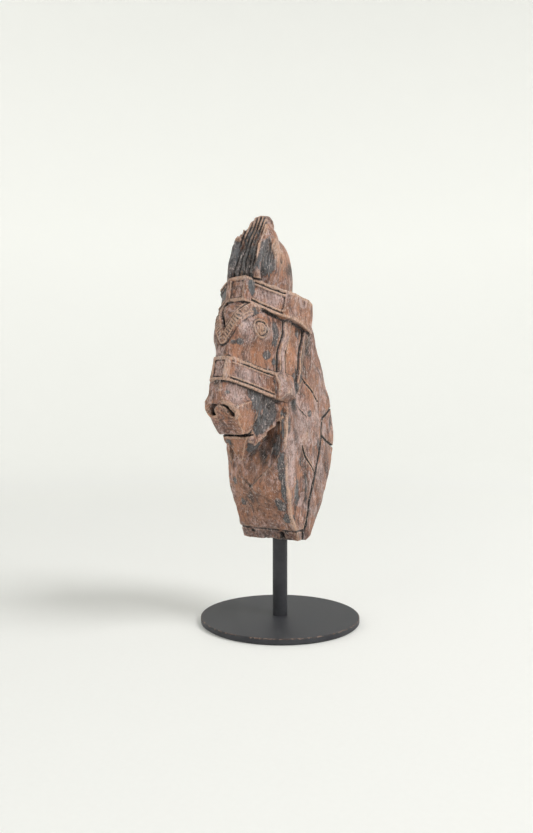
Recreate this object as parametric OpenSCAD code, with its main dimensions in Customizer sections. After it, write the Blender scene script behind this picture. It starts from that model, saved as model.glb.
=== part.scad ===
// Carved horse head and neck on a round post and a round base plate.
// The horse looks along -Y, its left side is +X, and the origin is the middle of the underside.

/* [Base plate] */
// Diameter of the plate
plate_d = 150; // [140:1:160]
// Thickness of the plate
plate_t = 5; // [4:0.5:8]
// Width of the bevel on the plate's rims
plate_bevel = 0.5; // [0.2:0.1:1]
// Thickness of the felt liner
felt_t = 1; // [0.5:0.1:2]
// How far the liner stays inside the plate's rim
felt_inset = 2; // [1:0.5:5]

/* [Post] */
// Outer diameter of the post
post_d = 14; // [13:0.5:16]
// Bore of the post, and of the hole in the wood
post_bore = 10; // [9:0.5:11]
// Height of the wood's foot above the ground
wood_z = 79; // [70:1:90]
// Length of the loose pin that stands out of the post
pin_out = 54; // [45:1:58]
// Radial clearance of the pin in its two bores
pin_gap = 0.05; // [0.02:0.01:0.1]
// Length of the plug in the foot of the post
plug_len = 20; // [15:1:30]
// Diameter of the screw through the plate
screw_d = 6; // [5:0.5:6]
// Diameter of the screw's countersunk head
screw_head_d = 12; // [11:0.5:13]

/* [Head and neck] */
// Width of the neck across the chest
neck_w = 65; // [60:1:70]
// Width of the back of the neck
back_w = 60; // [54:1:64]
// Width across the brow band's corner blocks
brow_w = 74; // [72:1:76]
// Width across the nose band's end blocks
nose_w = 72; // [68:1:73]
// Width of the front panels of both bands
front_w = 15; // [14:1:18]
// Height of the carved bands
band_h = 22; // [20:0.5:24]
// How far the bands stand proud of the face
band_proud = 3; // [2:0.5:4]
// Total height of the object
top_z = 379; // [376:1:382]

/* [Let-in pieces] */
// Diameter of the pegs
peg_d = 8; // [6:0.5:9]
// Length of the pegs
peg_len = 30; // [24:1:32]
// Distance between the two lower pegs
peg_spread = 36; // [32:1:40]

/* [Hidden] */
$fn = 96;
e = 0.01;
far = 400;
plate_z = felt_t + plate_t;
screw_sink = (screw_head_d - screw_d) / 2;
pin_z = plate_z + plug_len + 0.5;
hole_top_z = wood_z + pin_out + 1.5;
peg_gap = 0.05;
wedge_peg_d = 6;
wedge_peg_len = 20;

// Heights of the let-in pieces: their pegs, and the pieces' joint at the back
low_peg_z = wood_z + 29;
mid_peg_z = wood_z + 74;
wedge_peg_z = wood_z + 105;

// Side outlines are [y, z] points
chest = [[-13.5, wood_z], [-26, 105], [-35.5, 130], [-38, 164], [-30, 200]];
nape = [[8, 335], [10, 310], [24, 258], [46, 212], [54, 190], [56, 176], [50, 153], [13, wood_z]];
neck_side = concat(chest, [[-30, 318]], [[-10, 345]], nape);
face_side = [
    [-57, 312], [-68, 294], [-87, 258], [-94, 212], [-93, 203], [-80, 180], [-70, 177],
    [-60, 154], [-50, 172], [-44, 185], [-20, 205], [10, 215], [22, 258], [4, 286], [-36, 294]
];
crest_side = [
    [-61, 316], [-46, 360], [-41, 374], [-33, top_z], [-24, 375], [-14, 361], [0, 351], [8, 335], [10, 312]
];
// The seam of the slab, from the foot up, and the joint between slab and wedge
seam = [[-8.5, wood_z], [-1.5, 114], [23, 176]];
wedge_front = [27, 193];
wedge_top = [50, 206];
joint_back = [58, 160];
slab_side = concat(seam, [joint_back, [70, 140], [40, wood_z - 5], [-8.5, wood_z - 5]]);
wedge_side = [seam[2], wedge_front, wedge_top, [70, 200], joint_back];
both_side = concat(seam, [wedge_front, wedge_top, [80, 200], [80, wood_z - 5], [-8.5, wood_z - 5]]);

// Plan outlines are half widths at [x, y]
neck_plan = [[22, -46], [neck_w / 2, -36], [neck_w / 2, 10], [back_w / 2, 48], [back_w / 2 - 8, 58]];
skull_plan = [[front_w / 2, -100], [front_w / 2, -88], [18, -68], [28, -36], [30, 20], [26, 30]];
muzzle_plan = [[13, -100], [15, -80], [16, -62], [22, -50], [27, -36], [27, 20]];
crest_plan = [[front_w / 2, -66], [front_w / 2 + 1, -58], [15, -44], [20, -30], [18, 12]];
brow_plan = [
    [front_w / 2 + 1, -66 - band_proud], [brow_w / 2 - 3, -36], [brow_w / 2, -32],
    [brow_w / 2, -4], [brow_w / 2 - 3, 1], [20, 8]
];
nose_plan = [
    [front_w / 2, -92 - band_proud], [26, -48], [nose_w / 2, -42], [nose_w / 2, -28], [24, -12]
];

// A side outline drawn through the whole width
module side(points) {
    rotate([90, 0, 90])
        linear_extrude(far, center = true)
            polygon(points);
}

// A symmetrical plan outline drawn through the whole height
module plan(half) {
    last = len(half) - 1;
    linear_extrude(far)
        polygon(concat(half, [for (i = [last:-1:0]) [-half[i][0], half[i][1]]]));
}

// A band's side outline: level in front, then sloping down towards the back
module band(y_front, z_front, slope, half) {
    drop = tan(slope) * 120;
    intersection() {
        side([
            [y_front, z_front], [y_front + 120, z_front - drop],
            [y_front + 120, z_front - drop - band_h], [y_front - 10, z_front - band_h], [y_front - 10, z_front]
        ]);
        plan(half);
    }
}

// The whole carved form, before the let-in pieces are cut out of it
module carved_form() {
    intersection() {
        side(neck_side);
        plan(neck_plan);
        union() {
            translate([-neck_w / 2, -60, 0])
                cube([neck_w, 130, 288]);
            plan(crest_plan);
        }
    }
    intersection() {
        side(face_side);
        union() {
            intersection() {
                plan(skull_plan);
                translate([-far / 2, -far / 2, 212])
                    cube([far, far, far]);
            }
            intersection() {
                plan(muzzle_plan);
                translate([-far / 2, -far / 2, 0])
                    cube([far, far, 213]);
            }
        }
    }
    intersection() {
        side(crest_side);
        plan(crest_plan);
    }
    band(-63, 318, 24, brow_plan);
    band(-90, 246, 15, nose_plan);
}

module pin_hole() {
    translate([0, 0, wood_z - 10])
        cylinder(h = hole_top_z - wood_z + 10, d = post_bore);
}

// A peg, or its hole, from front to back across the seam
module peg(x, y, z, d, length) {
    translate([x, y, z])
        rotate([-90, 0, 0])
            cylinder(h = length, d = d);
}

module low_peg(side, grow = 0) {
    peg(side * peg_spread / 2, -18 - grow, low_peg_z, peg_d + 2 * grow, peg_len + 2 * grow);
}

module mid_peg(grow = 0) {
    peg(0, -2 - grow, mid_peg_z, peg_d + 2 * grow, peg_len + 2 * grow);
}

module wedge_peg(grow = 0) {
    peg(0, 15 - grow, wedge_peg_z, wedge_peg_d + 2 * grow, wedge_peg_len + 2 * grow);
}

module peg_holes() {
    low_peg(-1, peg_gap);
    low_peg(1, peg_gap);
    mid_peg(peg_gap);
    wedge_peg(peg_gap);
}

module base_felt() {
    color("dimgray")
        cylinder(h = felt_t, d = plate_d - 2 * felt_inset);
}

module base_plate() {
    r = plate_d / 2;
    color([0.16, 0.17, 0.19])
        difference() {
            translate([0, 0, felt_t])
                rotate_extrude()
                    polygon([
                        [0, 0], [r - plate_bevel, 0], [r, plate_bevel], [r, plate_t - plate_bevel],
                        [r - plate_bevel, plate_t], [0, plate_t]
                    ]);
            translate([0, 0, felt_t - e])
                cylinder(h = plate_t + 2 * e, d = screw_d + 0.4);
            translate([0, 0, felt_t - e])
                cylinder(h = screw_sink + 0.2, d1 = screw_head_d + 0.6, d2 = screw_d + 0.4);
        }
}

module base_screw() {
    color("silver")
        translate([0, 0, felt_t])
            difference() {
                union() {
                    cylinder(h = screw_sink, d1 = screw_head_d, d2 = screw_d);
                    translate([0, 0, screw_sink - e])
                        cylinder(h = plate_t + plug_len - 6 - screw_sink, d = screw_d);
                }
                translate([0, 0, -e])
                    cylinder(h = 2, d = 4, $fn = 6);
            }
}

module post_plug() {
    color("gray")
        translate([0, 0, plate_z])
            difference() {
                cylinder(h = plug_len, d = post_bore - 0.04);
                translate([0, 0, -e])
                    cylinder(h = plug_len - 4, d = screw_d - 0.6);
            }
}

module post_tube() {
    color([0.14, 0.15, 0.17])
        translate([0, 0, plate_z])
            difference() {
                cylinder(h = wood_z - plate_z, d = post_d);
                translate([0, 0, -e])
                    cylinder(h = wood_z - plate_z + 2 * e, d = post_bore);
            }
}

module spigot_pin() {
    pin_r = post_bore / 2 - pin_gap;
    color("silver")
        rotate_extrude()
            polygon([
                [0, pin_z], [pin_r - 0.5, pin_z], [pin_r, pin_z + 0.5], [pin_r, wood_z + pin_out - 1],
                [pin_r - 1, wood_z + pin_out], [0, wood_z + pin_out]
            ]);
}

module head_block() {
    color([0.55, 0.36, 0.27])
        difference() {
            carved_form();
            side(both_side);
            pin_hole();
            peg_holes();
        }
}

module rear_slab() {
    color([0.50, 0.34, 0.28])
        difference() {
            intersection() {
                carved_form();
                side(slab_side);
            }
            pin_hole();
            peg_holes();
        }
}

module rear_wedge() {
    color([0.58, 0.38, 0.28])
        difference() {
            intersection() {
                carved_form();
                side(wedge_side);
            }
            peg_holes();
        }
}

module slab_dowel_1() {
    color("burlywood")
        low_peg(-1);
}

module slab_dowel_2() {
    color("burlywood")
        low_peg(1);
}

module slab_dowel_3() {
    color("burlywood")
        mid_peg();
}

module wedge_dowel() {
    color("burlywood")
        wedge_peg();
}

base_felt();
base_plate();
base_screw();
post_plug();
post_tube();
spigot_pin();
head_block();
rear_slab();
rear_wedge();
slab_dowel_1();
slab_dowel_2();
slab_dowel_3();
wedge_dowel();
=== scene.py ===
"""Looks of a carved wooden horse head on a post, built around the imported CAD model."""

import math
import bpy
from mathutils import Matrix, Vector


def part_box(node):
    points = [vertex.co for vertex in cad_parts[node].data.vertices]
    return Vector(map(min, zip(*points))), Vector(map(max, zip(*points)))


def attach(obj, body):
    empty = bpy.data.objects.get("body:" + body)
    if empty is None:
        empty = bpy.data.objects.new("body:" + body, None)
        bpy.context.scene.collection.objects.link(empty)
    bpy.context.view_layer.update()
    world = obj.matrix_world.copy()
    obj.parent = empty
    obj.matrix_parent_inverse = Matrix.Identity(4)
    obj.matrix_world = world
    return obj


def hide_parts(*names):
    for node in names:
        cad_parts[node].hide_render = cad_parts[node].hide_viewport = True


bl_info = {
    "name": "Carved Horse Head on Stand",
    "version": (1, 0, 0),
    "blender": (4, 5, 0),
    "location": "View3D > Sidebar > Horse Head",
    "description": "Carves a worn wooden horse head and finishes its steel stand around a fixed CAD frame",
    "category": "Add Mesh",
}

import bpy
import bmesh
import numpy as np
from mathutils import Vector

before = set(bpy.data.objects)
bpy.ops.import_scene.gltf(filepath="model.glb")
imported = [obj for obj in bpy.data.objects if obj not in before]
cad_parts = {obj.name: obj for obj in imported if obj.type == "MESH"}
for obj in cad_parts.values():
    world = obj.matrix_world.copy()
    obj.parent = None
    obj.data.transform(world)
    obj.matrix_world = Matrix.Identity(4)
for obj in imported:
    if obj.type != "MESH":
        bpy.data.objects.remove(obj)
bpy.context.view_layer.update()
MM = 0.001
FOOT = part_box("head_block")[0].z / MM
# The bore for the pin is a little wider than the pin, and ends a little above its top
PIN_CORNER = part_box("spigot_pin")[1]
PIN_GAP, ROOM_ABOVE_PIN = 0.05, 1.5
BORE_RADIUS = PIN_CORNER.x / MM + PIN_GAP
BORE_DEPTH = PIN_CORNER.z / MM - FOOT + ROOM_ABOVE_PIN


# ---------------------------------------------------------------- shape tools
# All carving works in millimetres on arrays of points. A shape is a function that gives each
# point's distance to the surface: negative inside the wood, positive outside.


def soft_min(a, b, k):
    """Union of two shapes with a rounded inner corner of size k."""
    h = np.maximum(k - np.abs(a - b), 0.0) / k
    return np.minimum(a, b) - h * h * k * 0.25


def soft_max(a, b, k):
    """Intersection of two shapes with a rounded edge of size k."""
    return -soft_min(-a, -b, k)


def step(edge0, edge1, x):
    """Smooth ramp from 0 at edge0 to 1 at edge1."""
    t = np.clip((x - edge0) / (edge1 - edge0), 0.0, 1.0)
    return t * t * (3.0 - 2.0 * t)


def bump(x, centre, half):
    """Smooth hill of height 1 and the given half width."""
    t = np.clip(1.0 - ((x - centre) / half) ** 2, 0.0, 1.0)
    return t * t


def polygon(u, v, points):
    """Distance to a closed outline in a plane."""
    best = np.full(u.shape, 1e9, np.float32)
    inside = np.zeros(u.shape, bool)
    count = len(points)
    for i in range(count):
        (ax, ay), (bx, by) = points[i], points[(i + 1) % count]
        ex, ey = bx - ax, by - ay
        wx, wy = u - ax, v - ay
        t = np.clip((wx * ex + wy * ey) / (ex * ex + ey * ey), 0.0, 1.0)
        dx, dy = wx - ex * t, wy - ey * t
        best = np.minimum(best, dx * dx + dy * dy)
        if ay != by:
            crosses = (ay > v) != (by > v)
            inside ^= crosses & (u < (bx - ax) * (v - ay) / (by - ay) + ax)
    return np.where(inside, -1.0, 1.0) * np.sqrt(best)


def polyline(u, v, points):
    """Distance to an open line in a plane, and how far along it the nearest point lies."""
    best = np.full(u.shape, 1e9, np.float32)
    along = np.zeros(u.shape, np.float32)
    run = 0.0
    for (ax, ay), (bx, by) in zip(points, points[1:]):
        ex, ey = bx - ax, by - ay
        length = math.hypot(ex, ey)
        t = np.clip(((u - ax) * ex + (v - ay) * ey) / (length * length), 0.0, 1.0)
        d = np.hypot(u - ax - ex * t, v - ay - ey * t)
        closer = d < best
        best = np.where(closer, d, best)
        along = np.where(closer, run + t * length, along)
        run += length
    return best, along


def ellipsoid(x, y, h, centre, radii):
    """Distance to an ellipsoid, close to true near its surface."""
    px, py, pz = ((c - m) / r for c, m, r in zip((x, y, h), centre, radii))
    scaled = np.sqrt(px * px + py * py + pz * pz) + 1e-6
    steepness = np.sqrt((px / radii[0]) ** 2 + (py / radii[1]) ** 2 + (pz / radii[2]) ** 2) + 1e-6
    return scaled * (scaled - 1.0) / steepness


def half_width(depth, height, depths, rows):
    """Half widths given at some heights and depths, blended smoothly between the heights."""
    heights = [r[0] for r in rows]
    across = [np.interp(depth, depths, r[1]) for r in rows]
    out = across[0]
    for i in range(len(rows) - 1):
        out = out + (across[i + 1] - across[i]) * step(heights[i], heights[i + 1], height)
    return out


def waves(x, y, h, seed, count, length, stretch=1.0):
    """Soft random unevenness round 0 with the given wavelength; stretch lengthens it upwards."""
    rng = np.random.default_rng(seed)
    total = np.zeros(x.shape, np.float32)
    for _ in range(count):
        k = rng.normal(size=3)
        k *= 2.0 * math.pi / (length * np.linalg.norm(k)) * rng.uniform(0.6, 1.5)
        total += np.sin(x * k[0] + y * k[1] + h * k[2] / stretch + rng.uniform(0.0, 6.28))
    return total / math.sqrt(count)


# ---------------------------------------------------------------- the carved form
# x is across, y from front to back, h the height above the foot of the wood, and ax the distance
# from the middle plane. The horse's left side is where x is positive.

NECK_SIDE = [
    (-16.5, 0), (-30, 26), (-41, 51), (-45, 85), (-42, 110), (-30, 140), (-26, 212), (4, 214),
    (9, 206), (17, 196), (26, 178), (33, 162), (41, 145), (47, 132), (51, 122), (55, 110), (57, 98),
    (54, 86), (50, 74), (23, 20), (13, 7), (4, 0),
]

# The seam of the let-in slab, and the joints of the small wedge above it
SEAM = [(-8.5, 0), (-1.5, 35), (23, 97)]
WEDGE_FRONT, WEDGE_TOP, JOINT_BACK = (27, 114), (50, 127), (58, 81)
SLAB_CUT = SEAM + [JOINT_BACK, (70, 61), (40, -6), (-8.5, -6)]
WEDGE_CUT = [SEAM[2], WEDGE_FRONT, WEDGE_TOP, (75, 127), (75, 81), JOINT_BACK]
BOTH_CUT = SEAM + [WEDGE_FRONT, WEDGE_TOP, (80, 127), (80, -6), (-8.5, -6)]
SEAM_GAP = 0.7

# Half widths of the skull at some depths behind the face, one row for each height
SKULL_DEPTHS = [0, 3, 9, 18, 32, 46, 70]
SKULL_ROWS = [
    (118, [5, 7, 10, 14, 19, 24, 28]),
    (146, [5, 7, 10, 14, 19, 24.5, 29]),
    (168, [6, 8.5, 11.5, 14.5, 19.5, 25, 29]),
    (188, [10, 14.5, 18.5, 22.5, 27, 30, 31]),
    (201, [10.5, 14, 17, 20.5, 25.5, 28.5, 30]),
    (212, [8, 10.5, 13.5, 17, 22, 25.5, 28]),
    (224, [5, 7, 10, 14, 18, 22, 24]),
]
FACE_LINE = [
    (118, -91), (146, -92.5), (166, -89.5), (179, -87), (192, -84.5), (203, -80), (211, -74),
    (217, -66), (230, -58),
]
SKULL_SIDE = [
    (-110, 146), (-110, 224), (-50, 224), (-36, 214), (2, 206), (4, 190), (0, 150), (-20, 135),
    (-46, 130), (-58, 112), (-70, 120),
]

# Half widths of the muzzle's flat front at some heights, on the horse's left and right
MUZZLE_HEIGHTS = [99, 105, 117, 122.5, 125.5, 129, 134, 150]
MUZZLE_FLAT_LEFT = [15.8, 15.2, 15.6, 15.2, 11.5, 6.5, 4.8, 4.0]
MUZZLE_FLAT_RIGHT = [9.8, 11.3, 13.6, 13.2, 12.3, 10.6, 8.6, 6.4]
MUZZLE_LINE = [(99, -77.5), (112, -86.5), (121, -93.5), (128, -97), (142, -95.5), (150, -93)]
MUZZLE_SIDE = [(-110, 99), (-110, 150), (-54, 150), (-58, 128), (-63, 112), (-71, 100)]
NOSTRIL = [(3.6, 125.2), (7.0, 124.9), (9.8, 122.8), (11.2, 118.4)]

JAW_SIDE = [(-76, 150), (-30, 140), (-30, 124), (-42, 110), (-53, 97.5), (-61, 90), (-66, 93), (-68, 106)]
KNOB_SIDE = [(-49, 154), (-41, 155), (-24, 151), (-14.5, 142), (-25, 127), (-49, 130.5)]
# How far each of the knob's four facets leans towards the back, and upwards
KNOB_FACETS = [(0.0, 0.50), (0.36, 0.04), (0.04, -1.0), (-0.5, -0.05)]

CREST_FOOT = 238.0
FAN_OUTLINE = [
    (-9, 222), (-12, 240), (-18, 245), (-21, 251), (-21.3, 262), (-17.8, 268.5), (-15.2, 271),
    (-15.2, 276), (-13.2, 281), (-12.4, 286), (-9.5, 293), (-5, 297.5), (0, 299.5), (5, 298),
    (9, 293), (11, 285), (12.5, 270), (14.5, 252), (12.5, 240), (10.5, 222),
]

EYE = (23.5, -63.0, 191.0)
V_ROPE = [(0.0, 181.0), (3.6, 187.0), (7.8, 194.5), (11.6, 201.5), (15.0, 208.0), (18.0, 216.0)]
STRAP = [(-30.5, 205), (-31.5, 196), (-36.0, 172), (-38.5, 152)]
BATTEN = [(-2.5, 198), (-5, 185), (-10, 162), (-15.5, 140)]
# Lines of the shakes in the wood on the horse's left, and their half widths
CRACKS = [
    ([(-11.6, 157), (-7, 151), (16.8, 130)], 0.75),
    ([(-15.8, 126), (-9, 121), (-1.2, 115)], 0.6),
    ([(-11, 88), (-4, 77), (5.5, 65)], 0.85),
]
NAILS = [(-17.4, 8.0), (15.6, 8.0)]


def mirror_wobble(x, y, h):
    """Small unevenness of hand work, so that the two sides aren't true mirror images."""
    return (
        x + 0.7 * waves(x, y, h, seed=11, count=4, length=70.0),
        y + 0.7 * waves(x, y, h, seed=12, count=4, length=70.0),
        h + 0.5 * waves(x, y, h, seed=13, count=4, length=70.0),
    )


def neck_frame(y, h, ax):
    """How far a point is outside the neck's side outline, and outside its half width."""
    chest_bulge = 1.0 + 3.5 * step(5.0, 50.0, h)
    forward = np.where(y < 5, chest_bulge * np.minimum((ax / 31.0) ** 2, 1.2), 0.0)
    backward = np.where(y > -5, 6.0 * np.minimum((ax / 31.0) ** 4, 1.6), 0.0)
    side = polygon(y - forward + backward, h, NECK_SIDE)
    half = np.interp(y, [-60, -30, 10, 48, 60], [32.5, 32.5, 32.5, 30, 27])
    # narrower behind the cheeks, where the nose band's knobs stand out from the neck
    behind_cheek = step(98.0, 140.0, h) * step(10.0, -14.0, y)
    half = half - 5.5 * behind_cheek - 2.0 * step(150.0, 190.0, h) - 9.0 * step(205.0, 236.0, h)
    # a shallow hollow runs down behind the chest's corner
    half = half - 1.6 * bump(y - 0.35 * (h - 60.0), -14.0, 12.0) * step(100.0, 70.0, h)
    return side, ax - half


def neck_form(x, y, h, ax):
    """The neck, with a hollow throat under the jaw whose V-shaped lower edge cuts into the chest."""
    side, beside = neck_frame(y, h, ax)
    body = soft_max(side, beside, 1.2)
    edge = 51.0 + 0.95 * np.abs(x + 4.0)
    throat = (y + 40.6) - 0.16 * np.clip(h - edge, 0.0, 60.0)
    throat = soft_max(throat, (edge - h) * 0.7, 0.6)
    throat = soft_max(throat, ax - 27.0, 5.0)
    return soft_max(body, -throat, 0.6)


def skull_form(y, h, ax):
    """The head from the nose up to the brow, wider towards the back."""
    front = np.interp(h, [p[0] for p in FACE_LINE], [p[1] for p in FACE_LINE])
    depth = y - front
    half = half_width(depth, h, SKULL_DEPTHS, SKULL_ROWS)
    body = soft_max(-depth * 0.93, (ax - half) * 0.86, 3.5)
    return soft_max(body, polygon(y, h, SKULL_SIDE), 3.0)


def muzzle_form(x, y, h, ax):
    """A blunt nose with a flat front, and an upper and a lower facet on each side."""
    front = np.interp(h, [p[0] for p in MUZZLE_LINE], [p[1] for p in MUZZLE_LINE])
    depth = y - front
    left = np.interp(h, MUZZLE_HEIGHTS, MUZZLE_FLAT_LEFT)
    right = np.interp(h, MUZZLE_HEIGHTS, MUZZLE_FLAT_RIGHT)
    upper = 0.80 * (ax - np.where(x > 0, left, right)) - 0.34 * depth
    lower = 0.95 * (ax - np.where(x > 0, 15.6, 13.6)) - 0.12 * depth
    body = soft_max(-depth * 0.8, soft_max(upper, lower, 0.4), 0.6)
    body = soft_max(body, polygon(y, h, MUZZLE_SIDE), 1.0)
    dish, curl = nostril_cuts(x, y, h, ax)
    return soft_max(body + dish, -curl, 0.5)


def nostril_cuts(x, y, h, ax):
    """A shallow ringed dish round each nostril, and the curled slot of the nostril itself."""
    across = ax + np.where(x > 0, 0.0, 3.0)
    distance, along = polyline(across, h, NOSTRIL)
    curl = np.maximum(distance - 0.5 - 0.2 * along, y + 84.5 + 0.75 * (h - 117.0))
    r = np.hypot(across - 8.8, h - 119.5)
    dish = 0.7 * step(6.8, 4.6, r) + 0.3 * np.cos(2.1 * r) * step(9.0, 7.0, r)
    return dish * step(-82.0, -87.0, y), curl


def jaw_form(y, h, ax):
    """The cheek's lower end: a leaf with shallow grooves that run down to its tip."""
    half = np.interp(y, [-78, -66, -50, -38], [12.5, 15.0, 21.5, 26])
    along = (y + 74.0) + 0.55 * (h - 95.0)
    groove = 1.5 * np.cos(0.52 * along + 0.8) * step(90.0, 100.0, h) * step(140.0, 126.0, h)
    return soft_max((ax - half - groove) * 0.85, polygon(y, h, JAW_SIDE), 1.5)


def chin_form(y, h, ax):
    """An upside-down pyramid with a ridge on each side of its front."""
    front_y = -59.5 - 0.46 * (h - 75.0)
    half = 0.8 + 0.55 * (h - 75.0)
    front = (front_y - y) * 0.9
    side = (ax - half - 0.12 * (y - front_y)) * 0.86
    under = (75.0 + 1.15 * (y + 59.5) - h) * 0.65
    body = soft_max(soft_max(front, side, 0.6), np.maximum(under, y + 44.0), 0.8)
    return np.maximum(np.maximum(body, h - 97.5), 74.0 - h)


def mouth_forms(y, h, ax):
    """The wood that joins chin and muzzle inside the mouth, and the slot between the lips."""
    palate = np.maximum(np.maximum(ax - 11.0, np.abs(h - 98.0) - 4.0), np.maximum(-(y + 66.5), y + 50.0))
    slot = np.maximum(np.abs(h - 98.3 - 0.04 * ax) - 0.9, y + 64.5)
    return palate, slot


def brow_frame(x, y, h, ax):
    """The plain surface of the band over the forehead, and how far its nearer rim is."""
    lean = -0.25 * (CREST_FOOT - h)
    depth = y + 64.2 - lean
    reach = np.maximum(depth, -1.0)
    half = np.where(x < 0, np.minimum(9.3 + 1.9 * reach, 21.0 + 0.6 * reach), 9.3 + 0.78 * reach)
    half = np.minimum(half, 36.0)
    out = np.clip(np.maximum(ax - 9.0, 0.78 * depth), 0.0, 27.0)
    back = np.maximum(y + 29.0, 0.0)
    top = 238.5 - 0.46 * out - 0.22 * back
    bottom = 215.8 - 0.52 * out - 0.36 * back
    edge = np.minimum(h - bottom, top - h)
    surface = soft_max(-depth * 0.97, (ax - half) * np.where(x < 0, 0.48, 0.78), 0.8)
    surface = soft_max(surface, ax - 36.0, 1.2)
    return soft_max(surface, y - 0.5 - 0.4 * (37.0 - ax), 1.5), edge


def brow_band(x, y, h, ax):
    """The band over the forehead: panels in front and at the sides, and a plain block behind them."""
    surface, edge = brow_frame(x, y, h, ax)
    # relief: rim, groove, second rim and sunk panel, framed by upright strips
    rim = 1.5 * bump(edge, 3.2, 1.1) + 1.3 * step(5.4, 6.4, edge)
    on_side = step(13.0, 13.8, ax) * (1.0 - step(31.6, 32.4, ax))
    front = front_panel(np.minimum(edge - 3.0, 6.6 - ax), 0.9)
    uprights = 0.3 * bump(ax, 33.2, 1.0) + 0.8 * bump(ax, 13.2, 0.9) * step(2.0, 3.0, edge)
    body = surface + rim * on_side + front + uprights
    return soft_max(body, -edge * 0.82, 0.7)


def front_panel(inwards, depth):
    """Relief of a sunk panel with a groove round it, by the distance inwards from its border."""
    return depth * step(0.0, 0.8, inwards) + 0.7 * bump(inwards, 0.9, 0.9)


def nose_frame(x, y, h, ax):
    """The plain surface of the band over the nose, and how far its nearer rim is."""
    depth = y + 90.3 + 0.237 * (166.6 - h)
    half = 7.4 + 0.433 * np.maximum(depth, -1.0)
    back = np.maximum(y + 90.0, 0.0)
    top = 167.0 - 0.30 * back
    bottom = 145.6 - 0.345 * back
    edge = np.minimum(h - bottom, top - h)
    return soft_max(-depth * 0.97, (ax - half) * 0.91, 0.6), edge


def nose_band(x, y, h, ax):
    """The band over the nose, with a faceted knob at each end."""
    surface, edge = nose_frame(x, y, h, ax)
    rim = 1.4 * bump(edge, 3.2, 1.1) + 1.0 * step(5.0, 6.0, edge)
    on_side = step(8.6, 9.2, ax) * (1.0 - step(-50.0, -49.0, y))
    front = front_panel(np.minimum(edge - 2.8, 5.6 - ax), 0.8)
    body = soft_max(surface + rim * on_side + front, -edge * 0.9, 0.7)
    body = np.maximum(body, y + 43.0)
    # the knob: a low pyramid with four facets, wider than the plain end strip of the band
    knob = polygon(y, h, KNOB_SIDE)
    for lean_y, lean_h in KNOB_FACETS:
        facet = ax - 37.0 + lean_y * (y + 39.0) + lean_h * (h - 136.5)
        knob = soft_max(knob, facet / math.sqrt(1.0 + lean_y**2 + lean_h**2), 0.4)
    return soft_min(body, np.maximum(knob, 6.0 - ax), 0.4)


def fan_form(x, y, h, ax):
    """The forelock: a fan of upright flutes, with a crisp ridge along the horse's left edge."""
    rise = h - CREST_FOOT
    falls_back = 0.24 * np.clip(rise, 0.0, 30.0) - 1.0 - 0.09 * (ax - 14.0) ** 2
    front = -60.5 + 0.41 * rise - step(11.0, 14.0, ax) * falls_back
    front = np.maximum(front, -59.0) + 1.5 * bump(rise, 2.5, 3.5)
    flute = 0.5 - 0.5 * np.cos((x - 9.6 + 0.9 * np.sin(0.09 * rise) + 0.006 * rise * x) * 1.16)
    flute = 2.3 * flute**1.6 * step(62.0, 56.0, rise) * step(-1.0, 3.0, rise) * step(14.0, 11.0, x)
    ridge = 1.3 * bump(x, 11.4, 1.5) * step(0.0, 4.0, rise) * step(60.0, 54.0, rise)
    body = polygon(x, h, FAN_OUTLINE) - 0.6 * ridge
    body = soft_max(body, (front + flute - ridge - y) * 0.88, 0.9)
    thick = 21.0 - 0.17 * rise
    return soft_max(body, (y - front - thick) * 0.88, 2.5)


def dome_form(y, h, ax):
    """The ears' backs, which run on as one smooth dome down into the neck."""
    lean = 0.03 * (h - CREST_FOOT)
    around = np.hypot(ax / 19.6, (y + 20.0 - lean) / 29.0) + 1e-6
    above = np.maximum(h, CREST_FOOT)
    top = ellipsoid(ax, y, above, (0.0, -19.5, CREST_FOOT), (21.0, 30.0, 44.5))
    return soft_max(soft_max((around - 1.0) * 19.6, top, 5.0), 198.0 - h, 1.0)


def ear_form(x, y, h, ax):
    """The rounded body of each ear, taller on the horse's left."""
    rise = h - CREST_FOOT
    centre = (9.0, -37.0 + 0.10 * rise, 256.0)
    return ellipsoid(ax, y + 0.02 * rise, h, centre, (12.0, 14.5, np.where(x > 0, 30.0, 23.0)))


def ear_hollow(y, h, ax):
    """The dish in each ear, with combed hair in it."""
    ear_y = y + 46.0 - 0.26 * (h - 260.0)
    comb = np.cos(2.2 * np.hypot(ear_y + 15.0, 0.5 * (h - 264.0)) + 0.8 * np.sin(0.4 * h))
    return ellipsoid(ax, ear_y, h, (25.0, 0.5, 260.5), (9.6 + comb * 0.8, 10.4, 20.0))


def strand_form(x, y, h, ax):
    """A strand of hair that runs up in front of each ear, shorter on the horse's right."""
    rise = h - CREST_FOOT
    strand_x = 13.6 - 0.05 * (rise - 10.0)
    strand_y = -56.0 + 0.40 * np.maximum(rise - 6.0, -2.5)
    strand = np.hypot(ax - strand_x, y - strand_y) - 3.6 + 0.055 * np.clip(rise - 8.0, 0.0, 50.0)
    return np.maximum(strand, np.maximum(-1.5 - rise, rise - np.where(x > 0, 44.0, 28.0)))


def crest_form(x, y, h, ax):
    """The forelock, the hollowed ears at its sides with a strand before each, and their backs."""
    form = soft_min(soft_min(fan_form(x, y, h, ax), dome_form(y, h, ax), 1.5), ear_form(x, y, h, ax), 1.5)
    form = soft_max(form, -ear_hollow(y, h, ax), 0.5)
    return soft_min(form, strand_form(x, y, h, ax), 0.5)


# Relief on the face is a depth: positive cuts into the wood, negative stands out of it.


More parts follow.
